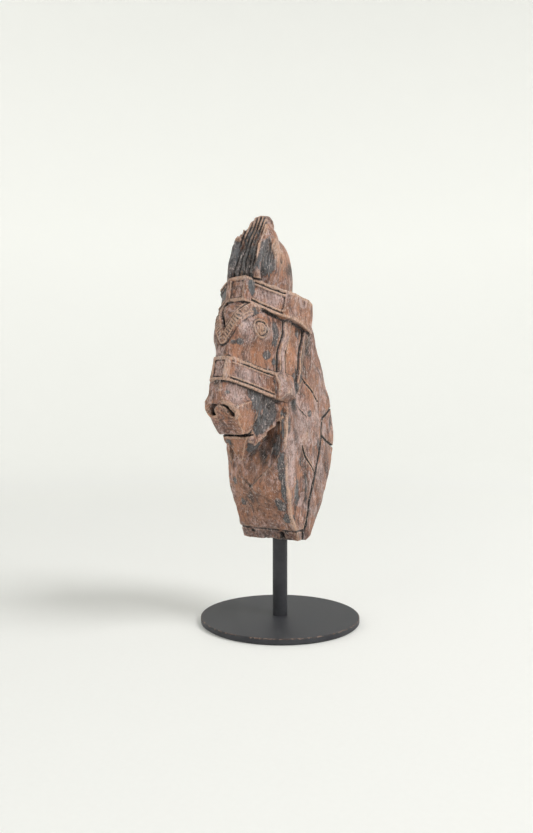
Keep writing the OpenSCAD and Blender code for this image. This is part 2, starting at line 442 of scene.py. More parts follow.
def eye_relief(y, h, ax):
    """A ringed boss with six petals and a raised middle."""
    r = np.sqrt((ax - EYE[0]) ** 2 + (y - EYE[1]) ** 2 + (h - EYE[2]) ** 2)
    petals = 1.0 + 0.13 * np.cos(6.0 * np.arctan2(h - EYE[2], y - EYE[1]))
    eye = 0.35 * bump(r, 9.4, 1.2) - 1.3 * bump(r, 8.0, 1.2) + 0.3 * bump(r, 6.5, 1.2)
    eye = eye - 1.2 * step(5.6 * petals, 4.2 * petals, r)
    eye = eye + 0.7 * bump(r, 3.3, 0.9) - 2.4 * step(3.0, 1.4, r)
    return eye * step(150.0, 170.0, h)


def rope_relief(y, h, ax):
    """The notched rope that hangs in a V on the forehead, with a deep cut along its inner side."""
    distance, along = polyline(ax, h, V_ROPE)
    notch = 0.5 - 0.5 * np.cos(along * 2.7 + 0.35 * (ax - h))
    rope = -2.0 * step(4.6, 3.4, distance) + 0.8 * notch**2 * step(3.4, 2.4, distance)
    inner = step(1.0, -1.0, ax - np.interp(h, [v for _, v in V_ROPE], [u for u, _ in V_ROPE]))
    rope = rope + 1.7 * bump(distance, 4.9, 1.4) * (0.35 + 0.65 * inner)
    return rope * (step(-52.0, -60.0, y) * step(171.0, 175.0, h) * step(222.0, 218.0, h))


def strap_relief(y, h, ax):
    """The cheek strap and the batten behind it, each between two cuts."""
    to_strap, _ = polyline(y, h, STRAP)
    to_batten, _ = polyline(y, h, BATTEN)
    strap = -1.5 * step(4.2, 3.0, to_strap) + 1.3 * bump(to_strap, 5.0, 1.2)
    batten = -1.7 * step(3.0, 2.0, to_batten) + 1.9 * bump(to_batten, 3.9, 1.3)
    return (strap + batten) * step(21.0, 24.0, ax)


def crack_relief(x, y, h):
    """Shakes in the wood on the horse's left side."""
    depth = np.full(x.shape, -9.0, np.float32)
    for line, width in CRACKS:
        distance, _ = polyline(y, h, line)
        depth = np.maximum(depth, width - distance)
    return np.clip(depth, 0.0, 0.7) * 3.0 * step(20.0, 23.0, x)


def head_form(x, y, h, ax):
    """Neck and head with everything that is carved on them."""
    head = soft_min(skull_form(y, h, ax), neck_form(x, y, h, ax), 2.0)
    head = head + (eye_relief(y, h, ax) + rope_relief(y, h, ax) + strap_relief(y, h, ax))
    head = soft_min(head, jaw_form(y, h, ax), 1.0)
    head = soft_min(head, muzzle_form(x, y, h, ax), 0.5)
    head = soft_min(head, chin_form(y, h, ax), 0.5)
    palate, slot = mouth_forms(y, h, ax)
    head = np.maximum(np.minimum(head, palate), -slot)
    head = soft_min(head, crest_form(x, y, h, ax), 0.8)
    head = soft_min(head, brow_band(x, y, h, ax), 0.3)
    head = soft_min(head, nose_band(x, y, h, ax), 0.4)
    return head + crack_relief(x, y, h)


def worked_foot(form, x, y, h):
    """Cuts the foot: a shallow step in front, two nail holes, and a splinter broken out under one."""
    form = form + (0.9 * step(11.6, 10.4, h) + 1.3 * bump(h, 11.2, 1.6)) * step(0.0, -8.0, y)
    for nail_x, nail_h in NAILS:
        r = np.sqrt((x - nail_x) ** 2 * 0.5 + (h - nail_h) ** 2)
        form = form + 2.6 * bump(r, 0.0, 3.0) * step(0.0, -6.0, y)
    splinter = np.maximum(np.abs(x - 15.6) - 3.0 + 0.25 * h, y + 12.0 - 0.15 * h)
    form = np.maximum(form, -np.maximum(splinter, h - 7.0))
    return np.maximum(form, -h)


def weathered(form, x, y, h):
    """Adds broad and fine unevenness, slow waves on the neck, and dents."""
    form = form + 0.34 * waves(x, y, h, seed=21, count=7, length=15.0, stretch=2.0)
    form = form + 0.13 * waves(x, y, h, seed=22, count=9, length=4.5, stretch=5.0)
    slow = waves(x, y, h, seed=24, count=6, length=30.0, stretch=1.5)
    form = form + 0.7 * slow * step(-50.0, -40.0, y) * step(215.0, 200.0, h)
    dents = np.maximum(waves(x, y, h, seed=23, count=9, length=11.0, stretch=1.6) - 1.5, 0.0)
    return form + 0.8 * dents


def carved_form(p):
    """The whole wooden form, before it is cut into its three pieces."""
    x, y, h = mirror_wobble(p[:, 0], p[:, 1], p[:, 2] - FOOT)
    form = worked_foot(head_form(x, y, h, np.abs(x)), x, y, h)
    # a gouge where the wedge meets the slab
    form = np.maximum(form, -ellipsoid(x, y, h, (28.0, 51.5, 85.5), (7.0, 3.2, 2.2)))
    form = weathered(form, x, y, h)
    bore = np.maximum(np.hypot(p[:, 0], p[:, 1]) - BORE_RADIUS, p[:, 2] - FOOT - BORE_DEPTH)
    return np.maximum(form, -bore)


def block_shape(p):
    """The main block: everything outside the two cuts."""
    cut = polygon(p[:, 1], p[:, 2] - FOOT, BOTH_CUT)
    return soft_max(carved_form(p), -(cut - SEAM_GAP), 1.2)


def slab_shape(p):
    """The long plank, a hair proud of the block."""
    cut = polygon(p[:, 1], p[:, 2] - FOOT, SLAB_CUT)
    return soft_max(carved_form(p) - 0.1, cut + SEAM_GAP, 1.0)


def wedge_shape(p):
    """The small wedge, a little sunk."""
    cut = polygon(p[:, 1], p[:, 2] - FOOT, WEDGE_CUT)
    return soft_max(carved_form(p) + 0.2, cut + SEAM_GAP, 1.2)


# ---------------------------------------------------------------- from shape to mesh
# All lengths here are in millimetres.

BOX_MARGIN = 4.0  # how far the grid reaches past the CAD node's box
CHUNK = 400000  # points worked out at a time
RIDGE_REACH = 1.5  # distance over which ridges and creases are felt
RIDGE_GAIN = 3.0
HOLLOW_REACH = 2.2  # how far outwards narrow hollows are looked for
SHADE_REACH = 9.0  # the same for wide ones
EDGE_REACH = 2.6  # how far inwards thin edges are looked for


def grid_points(axes, index):
    """The points of a grid that have the given numbers along its three axes."""
    return np.stack([axes[k][index[k]] for k in range(3)], 1).astype(np.float32)


def sample_band(shape, axes, coarse=4):
    """Distances on a fine grid, worked out only near the surface; elsewhere from a coarse grid."""
    sizes = [len(a) for a in axes]
    coarse_index = [np.arange(0, n + coarse - 1, coarse).clip(max=n - 1) for n in sizes]
    mesh = np.meshgrid(*coarse_index, indexing="ij")
    rough = shape(grid_points(axes, [m.ravel() for m in mesh])).reshape(mesh[0].shape)
    reach = coarse * max(float(np.diff(a).max()) for a in axes) * 1.35
    repeat = rough
    for k in range(3):
        repeat = np.repeat(repeat, coarse, axis=k)
    offset = coarse // 2
    missing = [(0, max(0, sizes[k] + coarse - repeat.shape[k])) for k in range(3)]
    padded = np.pad(repeat, missing, mode="edge")
    field = padded[tuple(slice(offset, offset + size) for size in sizes)].astype(np.float32)
    near = np.nonzero(np.abs(field) < reach)
    values = np.empty(len(near[0]), np.float32)
    for start in range(0, len(values), CHUNK):
        part = slice(start, start + CHUNK)
        values[part] = shape(grid_points(axes, [n[part] for n in near]))
    field[near] = values
    return field


def surface_net(field, axes):
    """Vertices and quads of the zero surface, one vertex in each grid cell that it crosses."""
    inside = field < 0
    corners = [(i, j, k) for i in (0, 1) for j in (0, 1) for k in (0, 1)]
    n = [s - 1 for s in field.shape]

    def corner(array, c):
        return array[c[0] : c[0] + n[0], c[1] : c[1] + n[1], c[2] : c[2] + n[2]]

    count = sum(corner(inside, c).astype(np.int8) for c in corners)
    cells = np.nonzero((count > 0) & (count < 8))
    number = np.full(n, -1, np.int32)
    number[cells] = np.arange(len(cells[0]))
    total = np.zeros((len(cells[0]), 3), np.float64)
    weight = np.zeros(len(cells[0]))
    for a in corners:
        for k in range(3):
            if a[k]:
                continue
            b = tuple(a[m] + (m == k) for m in range(3))
            va = field[tuple(cells[m] + a[m] for m in range(3))]
            vb = field[tuple(cells[m] + b[m] for m in range(3))]
            cross = (va < 0) != (vb < 0)
            t = np.where(cross, va / np.where(cross, va - vb, 1.0), 0.0)
            for m in range(3):
                low = axes[m][cells[m] + a[m]]
                high = axes[m][cells[m] + b[m]]
                total[:, m] += np.where(cross, low + (high - low) * t, 0.0)
            weight += cross
    points = total / weight[:, None]
    quads = []
    for k in range(3):
        u, v = (k + 1) % 3, (k + 2) % 3
        lower = [slice(0, field.shape[m] - (m == k)) for m in range(3)]
        upper = [slice(1 if m == k else 0, field.shape[m]) for m in range(3)]
        start, end = inside[tuple(lower)], inside[tuple(upper)]
        for outward in (True, False):
            hit = np.nonzero(start & ~end if outward else ~start & end)
            keep = (hit[u] > 0) & (hit[v] > 0) & (hit[u] < n[u]) & (hit[v] < n[v])
            hit = [h[keep] for h in hit]
            ring = []
            for du, dv in ((0, 0), (1, 0), (1, 1), (0, 1)):
                cell = list(hit)
                cell[u] = hit[u] - du
                cell[v] = hit[v] - dv
                ring.append(number[tuple(cell)])
            quads.append(np.stack(ring if outward else ring[::-1], 1))
    return points, np.concatenate(quads)


def slope(shape, p, reach=0.25):
    """The outward direction at each point, from the distances a little to each side of it."""
    out = np.empty_like(p)
    for k in range(3):
        d = np.zeros(3, p.dtype)
        d[k] = reach
        out[:, k] = shape(p + d) - shape(p - d)
    return out / (np.linalg.norm(out, axis=1, keepdims=True) + 1e-9)


# ---------------------------------------------------------------- where the wood is painted or worn, and where shade and highlights are painted on it
# Each spot has a centre x, y, h, its three radii, and a strength.

# Dark paint that is left
PAINT_SPOTS = [
    ((17, -62, 128), (7, 11, 12), 1.0),
    ((17, -58, 110), (7, 10, 14), 1.0),
    ((16, -67, 140), (5, 7, 5), 0.9),
    ((11, -57, 88), (5, 8, 12), 1.6),
    ((-10, -67, 92), (6, 6, 9), 0.8),
    ((27, -47, 188), (4, 4, 15), 1.0),
    ((30, -46, 162), (4, 4, 9), 0.9),
    ((-1, -54, 252), (24, 11, 22), 1.0),
    ((-18, -54, 256), (9, 12, 20), 1.6),
    ((-17, -48, 268), (8, 12, 11), 1.5),
    ((0, -46, 280), (13, 10, 17), 0.8),
    ((18, -47, 258), (8, 11, 21), 1.1),
    ((18, -50, 242), (7, 8, 6), 0.9),
    ((11.5, -62, 228), (2.6, 4, 9), 1.25),
    ((10, -92, 118), (4, 5, 5), 0.85),
    ((-22, -58, 228), (12, 16, 15), 0.95),
    ((19, -64, 208), (5, 5, 6), 0.85),
    ((-18, -66, 190), (8, 9, 22), 0.9),
    ((10, -86, 178), (3.5, 4, 4), 0.8),
    ((20.5, -52, 169), (4, 5, 4.5), 1.25),
    ((22.5, -43.5, 163.5), (3, 4, 4), 1.15),
    ((12, -80, 179.5), (4, 4, 3.5), 1.1),
    ((26, -45, 146), (4, 4, 4.5), 1.2),
    ((8, -91, 136), (2, 3, 2), 1.0),
    ((21, -49, 120), (7, 9, 15), 1.05),
    ((31, -16, 192), (3, 7, 9), 0.8),
    ((31, -10, 152), (4, 6, 10), 0.85),
    ((31, -20, 138), (6, 7, 22), 0.9),
    ((28, -46, 138), (3, 2.6, 7), 1.1),
    ((30, -38, 108), (6, 8, 16), 0.85),
    ((22, -42, 92), (9, 8, 16), 0.85),
    ((29, -40, 70), (5, 6, 18), 1.05),
    ((30, -36, 48), (4, 6, 18), 0.95),
    ((24, -36, 34), (7, 7, 8), 1.0),
    ((28, -28, 24), (7, 7, 6), 0.95),
    ((33, -20, 44), (4, 5, 16), 0.85),
    ((33, -6, 52), (4, 3, 26), 0.7),
    ((33, 16, 84), (4, 3, 14), 0.7),
    ((31, 44, 110), (6, 8, 14), 0.6),
    ((31, 30, 60), (6, 10, 20), 0.45),
    ((32, -12, 74), (4, 7, 12), 0.55),
    ((-24, -40, 56), (3, 5, 5), 0.9),
    ((-20, -32, 36), (3, 5, 5), 0.9),
    ((32, 2, 118), (3, 3, 4), 0.9),
    ((0, 4, 250), (16, 10, 20), 0.5),
    ((-30, 10, 120), (8, 20, 30), 0.6),
    ((-31, -20, 60), (6, 14, 26), 0.7),
]

# Bare wood that glows orange rather than pink
TINT_SPOTS = [
    ((32, -27, 178), (8, 8, 27), 1.5),
    ((21, -60, 168), (9, 14, 14), 0.95),
    ((16, -76, 112), (8, 14, 14), 1.0),
    ((30, -42, 206), (8, 6, 7), 1.0),
    ((34, -14, 204), (7, 12, 8), 0.7),
    ((0, -38, 36), (26, 16, 34), 0.8),
    ((25, -50, 140), (5, 6, 7), 1.1),
    ((18, -12, 268), (10, 18, 26), 0.7),
    ((33, 2, 146), (6, 12, 26), 0.6),
    ((0, -68, 88), (12, 8, 12), 0.7),
    ((0, -84, 186), (14, 8, 10), 0.35),
    ((32, 40, 84), (6, 8, 14), 0.6),
]

# A greyish pink patina; on the horse's left side, where the key light falls, it is also a painted sheen
LILAC_SPOTS = [
    ((24, -46, 224), (16, 16, 10), 1.0),
    ((33, -28, 208), (3, 5, 12), 1.0),
    ((16, -74, 152), (14, 14, 9), 1.0),
    ((12, -84, 134), (10, 10, 9), 1.0),
    ((0, -92, 154), (10, 6, 10), 0.5),
    ((32, -8, 112), (8, 14, 26), 0.8),
    ((32, -32, 76), (6, 8, 30), 0.9),
    ((20, -74, 196), (8, 10, 18), 0.5),
    ((34, -34, 142), (6, 12, 10), 0.7),
    ((32, 20, 50), (6, 12, 20), 0.25),
    ((15, -54, 246), (5, 6, 14), 1.3),
    ((29, -36, 176), (4, 4, 28), 0.9),
    ((0, -14, 10), (30, 14, 12), 0.4),
]

# Painted shade, with soot and dirt, on sheltered wood: the throat under the jaw most of all
DARK_SPOTS = [
    ((7, -43, 80), (8, 7, 12), 1.0),
    ((17, -43, 94), (7, 7, 9), 0.9),
    ((-6, -42, 84), (8, 6, 10), 0.8),
    ((29, -24, 126), (4, 5, 9), 0.9),
    ((18, -22, 252), (6, 7, 7), 0.35),
    ((0, -30, 66), (16, 14, 7), 0.35),
    ((-14, -80, 190), (8, 10, 26), 0.35),
    ((0, -76, 205), (6, 6, 10), 0.45),
    ((32, 30, 90), (5, 5, 26), 0.5),
    ((32, -6, 60), (5, 6, 30), 0.65),
    ((31, 0, 168), (6, 12, 26), 0.6),
    ((31, 16, 46), (6, 12, 40), 0.6),
    ((0, -14, 6), (34, 14, 8), 0.65),
    ((0, -38, 30), (26, 14, 30), 0.5),
    ((19, -12, 250), (8, 9, 9), 0.8),
]

# Wood that is rubbed or broken down to its pale inside
BARE_SPOTS = [
    ((15.6, -17, 3.0), (4.0, 6, 4.5), 1.2),
    ((19, -34, 264), (4, 6, 16), 0.9),
    ((20, -25, 262), (6, 10, 17), 0.8),
    ((11.2, -50, 264), (1.3, 16, 32), 1.0),
    ((36, -30, 199), (4, 30, 3), 0.4),
    ((36, -38, 138), (3, 6, 8), 0.7),
    ((32, -8, 96), (4, 8, 10), 0.6),
    ((24, -63, 191), (8.5, 6, 8.5), 0.85),
    ((10, -62, 226), (1.8, 4, 10), 0.9),
    ((8, -90, 155), (1.8, 4, 10), 0.9),
]


def spots(p, places):
    """The strongest of the spots that reach each point, 0 away from all of them."""
    x, y, h = p[:, 0], p[:, 1], p[:, 2] - FOOT
    out = np.zeros(len(p), np.float32)
    for centre, radii, strength in places:
        d = np.sqrt(sum(((c - m) / r) ** 2 for c, m, r in zip((x, y, h), centre, radii)))
        out = np.maximum(out, strength * step(1.5, 0.4, d))
    return out


def rope_mark(x, y, h):
    """1 on the V-shaped rope of the forehead, 0 away from it."""
    distance, _ = polyline(np.abs(x), h, V_ROPE)
    return step(4.4, 3.0, distance) * step(-52.0, -60.0, y) * step(222.0, 214.0, h)


def corner_mark(x, y, h):
    """1 along the rubbed corner between the chest and the horse's left side."""
    side, beside = neck_frame(y, h, np.abs(x))
    near = step(3.0, 1.2, np.maximum(np.abs(side), np.abs(beside)))
    return near * step(0.0, 5.0, x) * step(-5.0, -10.0, y) * step(4.0, 9.0, h) * step(122.0, 110.0, h)


def rim_mark(x, y, h):
    """1 on the rubbed rims of the two bands, 0 away from them."""
    mark = np.zeros(x.shape, np.float32)
    for band in (brow_frame, nose_frame):
        surface, edge = band(x, y, h, np.abs(x))
        on_rim = step(2.9, 2.1, edge) * step(-1.0, -0.2, edge)
        mark = np.maximum(mark, step(2.2, 1.0, np.abs(surface)) * on_rim)
    return mark


def ridge_amount(shape, p, normal):
    """How the surface falls away round each point: above 0 on a ridge, below 0 in a crease."""
    first = np.cross(normal, (0.31, 0.52, 0.79))
    first = (first / (np.linalg.norm(first, axis=1, keepdims=True) + 1e-9)).astype(np.float32)
    second = np.cross(normal, first).astype(np.float32)
    around = sum(shape(p + RIDGE_REACH * way) for way in (first, -first, second, -second))
    return np.clip(around / (4.0 * RIDGE_REACH) * RIDGE_GAIN, -1.0, 1.0)


def wear_marks(shape, p):
    """What the material has to know of each point: where it is hollow, rubbed, painted or tinted, and where
    it gets painted shade and painted highlights.
    """
    normal = slope(shape, p, 0.6)
    in_side_view = p[:, 1], p[:, 2] - FOOT
    seam = np.minimum(np.abs(polygon(*in_side_view, SLAB_CUT)), np.abs(polygon(*in_side_view, WEDGE_CUT)))
    hollow = np.clip(1.0 - shape(p + normal * HOLLOW_REACH) / HOLLOW_REACH, 0.0, 1.0)
    wobbled = mirror_wobble(p[:, 0], p[:, 1], p[:, 2] - FOOT)
    rubbed = [spots(p, BARE_SPOTS), rope_mark(*wobbled) * 0.5, rim_mark(*wobbled) * 0.75]
    return {
        # ridges are worn pale and get a painted highlight; creases get painted shade
        "ridge": ridge_amount(shape, p, normal),
        # narrow hollows and the seams of the let-in pieces: darkened as painted shade and dirt, and where
        # paint is kept
        "hollow": np.maximum(hollow, step(2.5, 0.9, seam)),
        # wide hollows, such as under the jaw: darkened as painted shade
        "shade": np.clip(1.0 - shape(p + normal * SHADE_REACH) / SHADE_REACH, 0.0, 1.0),
        "edge": np.clip(1.0 + shape(p - normal * EDGE_REACH) / EDGE_REACH, 0.0, 1.0),
        "paint": spots(p, PAINT_SPOTS),
        "tint": spots(p, TINT_SPOTS),
        # patina, also a painted sheen on the lit side
        "lilac": spots(p, LILAC_SPOTS),
        # painted shade, with dirt, on sheltered wood
        "dark": spots(p, DARK_SPOTS),
        "bare": np.maximum.reduce([*rubbed, corner_mark(*wobbled) * 0.95]),
    }


def carve(name, shape, node, cell, finish):
    """Meshes a shape over the box of its CAD node, marks its wear and where it gets painted shade and
    highlights, and puts it in the node's place.
    """
    low, high = (np.array(corner[:]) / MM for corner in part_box(node))
    low, high = low - BOX_MARGIN, high + BOX_MARGIN + cell
    axes = [np.arange(low[k], high[k], cell, dtype=np.float32) for k in range(3)]
    points, quads = surface_net(sample_band(shape, axes), axes)
    p = points.astype(np.float32)
    # two steps along the slope bring the points from the grid onto the true surface
    for _ in range(2):
        move = np.clip(shape(p), -0.5 * cell, 0.5 * cell)
        p = p - slope(shape, p) * move[:, None]
    mesh = bpy.data.meshes.new(name)
    mesh.from_pydata((p * MM).tolist(), [], quads.tolist())
    mesh.validate()
    mesh.update()
    for key, values in wear_marks(shape, p).items():
        mesh.attributes.new(key, "FLOAT", "POINT").data.foreach_set("value", values.astype(np.float32))
    mesh.polygons.foreach_set("use_smooth", np.ones(len(mesh.polygons), bool))
    mesh.materials.append(finish)
    piece = bpy.data.objects.new(name, mesh)
    bpy.context.scene.collection.objects.link(piece)
    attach(piece, "head")
    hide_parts(node)
    print(name, len(mesh.vertices), "points")


# ---------------------------------------------------------------- materials


class Finish:
    """Short names for building one node material."""

    def __init__(self, name):
        self.material = bpy.data.materials.new(name)
        self.material.use_nodes = True
        self.tree = self.material.node_tree
        self.tree.nodes.clear()
        self.shader = self.tree.nodes.new("ShaderNodeBsdfPrincipled")
        output = self.tree.nodes.new("ShaderNodeOutputMaterial")
        self.tree.links.new(self.shader.outputs[0], output.inputs[0])
        self.coords = self.tree.nodes.new("ShaderNodeTexCoord").outputs["Object"]

    def put(self, socket, value):
        """Links another node's output to a socket, or sets the socket to a plain value."""
        if isinstance(value, bpy.types.NodeSocket):
            self.tree.links.new(value, socket)
        else:
            socket.default_value = value

    def math(self, kind, *values):
        node = self.tree.nodes.new("ShaderNodeMath")
        node.operation = kind
        for socket, value in zip(node.inputs, values):
            self.put(socket, value)
        return node.outputs[0]

    def plus(self, a, b):
        return self.math("ADD", a, b)

    def minus(self, a, b):
        return self.math("SUBTRACT", a, b)

    def times(self, a, b):
        return self.math("MULTIPLY", a, b)

    def scaled(self, scale, moved=(0.0, 0.0, 0.0), turned=(0.0, 0.0, 0.0)):
        node = self.tree.nodes.new("ShaderNodeMapping")
        self.put(node.inputs["Vector"], self.coords)
        node.inputs["Scale"].default_value = scale
        node.inputs["Location"].default_value = moved
        node.inputs["Rotation"].default_value = turned
        return node.outputs[0]

    def rings(self, vector, scale, wobble, detail):
        """Growth rings round the local upright axis."""
        node = self.tree.nodes.new("ShaderNodeTexWave")
        node.wave_type = "RINGS"
        node.rings_direction = "Z"
        self.put(node.inputs["Vector"], vector)
        node.inputs["Scale"].default_value = scale
        node.inputs["Distortion"].default_value = wobble
        node.inputs["Detail"].default_value = detail
        node.inputs["Detail Scale"].default_value = 0.6
        return node.outputs["Fac"]

    def noise(self, vector, detail, rough, distortion=0.0):
        node = self.tree.nodes.new("ShaderNodeTexNoise")
        self.put(node.inputs["Vector"], vector)
        node.inputs["Scale"].default_value = 1.0
        node.inputs["Detail"].default_value = detail
        node.inputs["Roughness"].default_value = rough
        node.inputs["Distortion"].default_value = distortion
        return node.outputs["Fac"]

    def ramp(self, value, low, high):
        """0 below low, 1 above high, smooth between; it falls instead where low is the larger."""
        node = self.tree.nodes.new("ShaderNodeMapRange")
        node.interpolation_type = "SMOOTHSTEP"
        self.put(node.inputs["Value"], value)
        node.inputs["From Min"].default_value = low
        node.inputs["From Max"].default_value = high
        return node.outputs["Result"]

    def mix(self, factor, under, over):
        node = self.tree.nodes.new("ShaderNodeMix")
        node.data_type = "RGBA"
        self.put(node.inputs["Factor"], factor)
        self.put(node.inputs[6], under)
        self.put(node.inputs[7], over)
        return node.outputs[2]

    def attribute(self, name):
        node = self.tree.nodes.new("ShaderNodeAttribute")
        node.attribute_name = name
        return node.outputs["Fac"]

    def bump(self, height, distance, strength, normal=None):
        node = self.tree.nodes.new("ShaderNodeBump")
        node.inputs["Strength"].default_value = strength
        node.inputs["Distance"].default_value = distance
        self.put(node.inputs["Height"], height)
        if normal is not None:
            self.put(node.inputs["Normal"], normal)
        return node.outputs[0]

    def axis_distance(self):
        """Distance from the upright axis, and the height, in metres."""
        node = self.tree.nodes.new("ShaderNodeSeparateXYZ")
        self.put(node.inputs[0], self.coords)
        x, y, z = node.outputs
        return self.math("SQRT", self.plus(self.times(x, x), self.times(y, y))), z

    def done(self, colour, rough, normal, **constants):
        self.put(self.shader.inputs["Base Color"], colour)
        self.put(self.shader.inputs["Roughness"], rough)
        self.put(self.shader.inputs["Normal"], normal)
        for name, value in constants.items():
            self.shader.inputs[name.replace("_", " ")].default_value = value
        return self.material


class OldWood(Finish):
    """The layers of the old carved wood, from its grain outwards."""

    def __init__(self, colours):
        super().__init__("old_carved_wood")
        self.colours = colours
        self.fibre = self.noise(self.scaled((480, 480, 36)), 6.0, 0.65, 0.6)
        self.fine = self.noise(self.scaled((1400, 1400, 160)), 4.0, 0.65)
        self.cloud = self.noise(self.scaled((75, 75, 45)), 5.0, 0.65, 0.8)
        self.mottle = self.noise(self.scaled((170, 170, 100)), 6.0, 0.7, 1.0)
        self.speck = self.noise(self.scaled((800, 800, 450)), 5.0, 0.75)
        self.pores = self.ramp(self.noise(self.scaled((1500, 1500, 260)), 3.0, 0.6), 0.40, 0.30)
        heart = self.scaled((1, 1, 0.8), (-0.006, -0.062, 0.0), (0.06, 0.05, 0.0))
        self.growth = self.rings(heart, 150.0, 9.0, 5.0)
        self.grain = self.plus(self.times(self.fibre, 0.90), self.times(self.growth, 0.10))
        marks = ("ridge", "hollow", "shade", "edge", "paint", "tint", "lilac", "dark")
        self.marks = {name: self.attribute(name) for name in marks}
        self.bare = self.times(self.attribute("bare"), 0.75)

    def grain_colour(self):
        """Dark and red grain bands under patches a centimetre or so across."""
        c = self.colours
        warm = self.noise(self.scaled((100, 100, 55)), 5.0, 0.65, 1.0)
        cool = self.noise(self.scaled((120, 120, 70), (7.0, 3.0, 1.0)), 5.0, 0.68, 1.0)
        dull = self.noise(self.scaled((95, 95, 50), (2.0, 9.0, 5.0)), 6.0, 0.7, 1.2)
        wood = self.mix(self.ramp(self.grain, 0.38, 0.58), c.dark_wood, c.red_wood)
        wood = self.mix(self.times(self.ramp(warm, 0.46, 0.58), 0.6), wood, c.orange_wood)
        no_tint = self.minus(0.75, self.times(self.marks["tint"], 0.62))
        wood = self.mix(self.times(self.ramp(cool, 0.50, 0.60), no_tint), wood, c.pink_patina_and_sheen)
        return self.mix(self.times(self.ramp(dull, 0.53, 0.62), 0.75), wood, c.dark_wood)

    def toned(self, wood):
        """Orange and greyish-pink regions, dark stains and broad darker areas; the greyish pink is partly a
        painted sheen on the horse's left side, where the key light falls.
        """
        c = self.colours
        glow = self.times(self.marks["tint"], self.ramp(self.mottle, 0.30, 0.56))
        wood = self.mix(self.times(glow, 0.84), wood, c.orange_wood)
        # greyish-pink patina, strongest at the lilac spots, where it is also a painted sheen on the lit
        # side
        pink = self.plus(self.times(self.marks["lilac"], 0.42), self.cloud)
        pink = self.times(self.ramp(pink, 0.50, 0.86), self.ramp(self.speck, 0.30, 0.62))
        wood = self.mix(self.times(pink, 0.9), wood, c.pink_patina_and_sheen)
        stain = self.times(self.ramp(self.mottle, 0.48, 0.64), self.ramp(self.fibre, 0.30, 0.6))
        wood = self.mix(self.times(stain, 0.75), wood, c.dark_wood)
        broad = self.noise(self.scaled((38, 38, 30)), 3.0, 0.6, 1.2)
        return self.mix(self.times(self.ramp(broad, 0.48, 0.66), 0.45), wood, c.dark_wood)

    def rubbed(self, wood):
        """Pale wood along the edges and wherever the carving is handled, and a painted highlight along
        ridges and facet edges.
        """
        uneven = self.minus(self.mottle, 0.5)
        rub = self.plus(self.plus(self.marks["edge"], self.times(uneven, 1.9)), self.bare)
        worn = self.times(self.ramp(rub, 0.26, 0.80), self.ramp(self.fine, 0.34, 0.58))
        # ridges and facet edges: painted highlight, with wear
        crisp = self.plus(self.marks["ridge"], self.times(uneven, 0.9))
        crisp = self.times(self.ramp(crisp, 0.30, 0.74), self.ramp(self.fine, 0.28, 0.50))
        return self.mix(self.times(self.math("MAXIMUM", worn, crisp), 0.80), wood, self.colours.worn_edge_and_highlight)

    def paint_left(self):
        """High where paint is left: in hollows and sheltered patches, flaked off in ragged islands."""
        kept = self.plus(self.times(self.marks["paint"], 0.85), self.times(self.marks["hollow"], 0.30))
        kept = self.minus(kept, self.times(self.plus(self.marks["edge"], self.bare), 0.45))
        flake = self.plus(self.times(self.mottle, 1.5), self.times(self.speck, 0.7))
        return self.plus(kept, self.minus(flake, 1.15))

    def painted(self, wood, kept, paint):
        """Blue-black to grey paint, with a thin dark line where its flakes end."""
        c = self.colours
        tone = self.mix(self.ramp(self.fine, 0.36, 0.70), c.dark_paint, c.grey_paint)
        tone = self.mix(self.times(self.ramp(self.cloud, 0.45, 0.65), 0.4), tone, c.dark_wood)
        colour = self.mix(self.times(paint, 0.93), wood, tone)
        lip = self.times(self.ramp(kept, 0.36, 0.44), self.ramp(kept, 0.54, 0.46))
        return self.mix(self.times(lip, 0.45), colour, c.grime_and_shade)

    def shaded_and_soiled(self, colour):
        """Painted shade with dirt in the cuts, creases, wide hollows and dark spots; dark pores and pits;
        pale dust and scuffs on the grain that also paint glints and sheen.
        """
        c = self.colours
        # creases get painted shade
        crease = self.times(self.ramp(self.times(self.marks["ridge"], -1.0), 0.28, 1.0), 0.44)
        # painted shade, with dirt, in narrow and wide hollows, in the seams and at the dark spots
        grime_and_shade = self.plus(self.times(self.marks["hollow"], 1.15), self.times(self.marks["shade"], 0.42))
        patchy = self.times(self.marks["dark"], self.plus(0.30, self.times(self.mottle, 1.2)))
        grime_and_shade = self.plus(self.plus(grime_and_shade, patchy), crease)
        colour = self.mix(self.ramp(grime_and_shade, 0.30, 1.0), colour, c.grime_and_shade)
        colour = self.mix(self.times(self.pores, 0.7), colour, c.grime_and_shade)
        # pale specks: dust, and painted glints
        dust = self.times(self.ramp(self.speck, 0.55, 0.64), 0.85)
        colour = self.mix(self.times(dust, self.ramp(self.cloud, 0.36, 0.56)), colour, c.dust_and_sheen)
        # light streaks along the grain: scuffs, and a painted sheen
        scuff_and_sheen = self.times(self.ramp(self.grain, 0.55, 0.62), self.ramp(self.mottle, 0.48, 0.58))
        colour = self.mix(self.times(scuff_and_sheen, 0.70), colour, c.dust_and_sheen)
        pits = self.times(self.ramp(self.speck, 0.46, 0.38), self.ramp(self.mottle, 0.42, 0.56))
        return self.mix(self.times(pits, 0.75), colour, c.grime_and_shade)

    def relief(self, paint):
        """Raised fibres and paint, sunk pores, and broader unevenness under them."""
        height = self.plus(self.times(self.fibre, 0.6), self.times(self.speck, 0.7))
        height = self.plus(height, self.times(paint, 0.35))
        height = self.minus(height, self.times(self.pores, 0.35))
        height = self.plus(height, self.times(self.growth, 0.05))
        return self.bump(self.mottle, 0.0034, 0.8, self.bump(height, 0.0016, 0.9))


